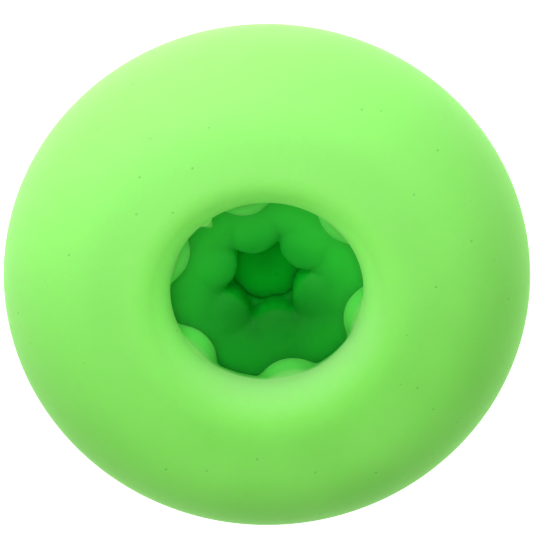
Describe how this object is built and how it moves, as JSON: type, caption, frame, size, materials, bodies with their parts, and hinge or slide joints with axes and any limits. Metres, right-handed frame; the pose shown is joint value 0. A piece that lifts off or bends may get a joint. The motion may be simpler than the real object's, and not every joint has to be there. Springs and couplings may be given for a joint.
{
  "type": "vibration dampener",
  "caption": "Soft round racket string dampener: a fat cushion ring with a rolled lip round a lobed blind socket, held on the strings by a grooved clip behind.",
  "frame": {"origin": "centre of the string clip's flat underside, which is the lowest face", "axes": "+Z along the dampener's axis, from the string clip towards the open mouth; +X through the middle of one lobe and one nub"},
  "size_m": [0.026, 0.026, 0.012],
  "materials": {
    "ring_elastomer": "soft moulded silicone, pale lime green, slightly translucent, satin",
    "core_elastomer": "soft moulded silicone, deeper green, slightly translucent, satin",
    "clip_elastomer": "firmer moulded silicone, deep green, slightly translucent, satin"
  },
  "bodies": {
    "root": {"cushion_ring": "ring_elastomer", "star_core": "core_elastomer", "string_clip": "clip_elastomer"}
  },
  "joints": []
}
